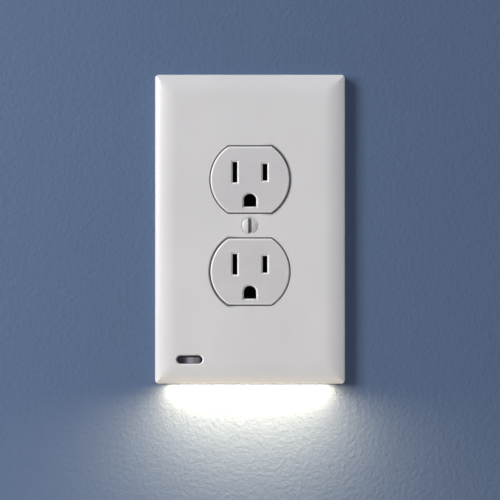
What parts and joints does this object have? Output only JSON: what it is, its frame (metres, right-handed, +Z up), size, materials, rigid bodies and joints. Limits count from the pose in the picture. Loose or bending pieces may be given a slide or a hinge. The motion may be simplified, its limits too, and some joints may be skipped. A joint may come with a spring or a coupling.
{
  "type": "outlet night light",
  "caption": "Duplex outlet under a cover plate with a night light along its lower edge, a light sensor window and spring contact arms behind it.",
  "frame": {"origin": "on the axis of the cover screw, in the plane of the wall's surface, midway between the two box screws", "axes": "+X to the right as seen from the room, +Y into the wall, +Z up; the front faces -Y"},
  "size_m": [0.0804, 0.0316, 0.1308],
  "materials": {
    "outlet_plastic": "smooth moulded thermoplastic, semi-gloss",
    "body_thermoset": "dark moulded thermoset",
    "galvanised_steel": "galvanised sheet steel",
    "brass_sheet": "stamped brass",
    "plated_brass": "nickel-plated stamped brass",
    "zinc_steel": "zinc-plated steel",
    "brass_screw": "brass-plated binding screw",
    "green_screw": "green dyed steel",
    "plate_plastic": "smooth white thermoplastic, satin gloss",
    "cover_plastic": "white thermoplastic, matt",
    "diffuser": "frosted clear plastic, lit from behind",
    "led_white": "white moulded package",
    "phosphor": "yellow phosphor under clear resin",
    "smoky_lens": "smoky clear plastic, polished",
    "sensor_ceramic": "ceramic disc with a light-sensitive track",
    "board_laminate": "green solder mask on glass laminate",
    "chip_plastic": "moulded epoxy with tinned legs",
    "fuse_ceramic": "ceramic with tinned ends",
    "capacitor_ceramic": "ceramic with tinned ends",
    "resistor_film": "black film on ceramic with tinned ends",
    "switch_steel": "folded tinned steel",
    "knob_plastic": "black moulded plastic",
    "black_insulation": "black insulated wire with tinned ends",
    "white_insulation": "white insulated wire with tinned ends",
    "arm_plastic": "stiff glass-filled nylon, natural",
    "spring_brass": "phosphor bronze strip",
    "painted_screw": "steel painted to match the plate"
  },
  "bodies": {
    "outlet": {"outlet_face": "outlet_plastic", "outlet_body": "body_thermoset", "mounting_strap": "galvanised_steel", "hot_bus": "brass_sheet", "neutral_bus": "plated_brass", "ground_clips": "brass_sheet", "ground_rivets": "zinc_steel", "hot_terminal_screws": "brass_screw", "neutral_terminal_screws": "zinc_steel", "ground_terminal_screw": "green_screw", "body_screws": "zinc_steel", "mounting_screws": "zinc_steel"},
    "cover": {"cover_plate": "plate_plastic", "rear_cover": "cover_plastic", "light_bar": "diffuser", "led_packages": "led_white", "led_emitters": "phosphor", "sensor_lens": "smoky_lens", "light_sensor": "sensor_ceramic", "circuit_board": "board_laminate", "driver_chip": "chip_plastic", "bridge_rectifier": "chip_plastic", "input_fuse": "fuse_ceramic", "chip_capacitors": "capacitor_ceramic", "chip_resistors": "resistor_film", "switch_case": "switch_steel", "hot_wire": "black_insulation", "neutral_wire": "white_insulation"},
    "screw": {"cover_screw": "painted_screw"},
    "knob": {"switch_knob": "knob_plastic"},
    "hot_side_arm": {"hot_arm": "arm_plastic", "hot_contact": "spring_brass"},
    "neutral_side_arm": {"neutral_arm": "arm_plastic", "neutral_contact": "spring_brass"}
  },
  "joints": [
    {"name": "cover_pull", "type": "slide", "parent": "outlet", "child": "cover", "axis": [0, -1, 0], "range_m": [0, 0.045]},
    {"name": "cover_screw_turn", "type": "hinge", "parent": "cover", "child": "screw", "pos_m": [0, 0, 0], "axis": [0, 1, 0], "continuous": true},
    {"name": "brightness_switch", "type": "slide", "parent": "cover", "child": "knob", "axis": [1, 0, 0], "range_m": [0, 0.004]},
    {"name": "hot_arm_flex", "type": "hinge", "parent": "cover", "child": "hot_side_arm", "pos_m": [0.0223, -0.0032, 0], "axis": [0, 0, -1], "range_deg": [0, 5], "stiffness_Nm_per_rad": 0.1},
    {"name": "neutral_arm_flex", "type": "hinge", "parent": "cover", "child": "neutral_side_arm", "pos_m": [-0.0223, -0.0032, 0], "axis": [0, 0, 1], "range_deg": [0, 5], "stiffness_Nm_per_rad": 0.1}
  ]
}
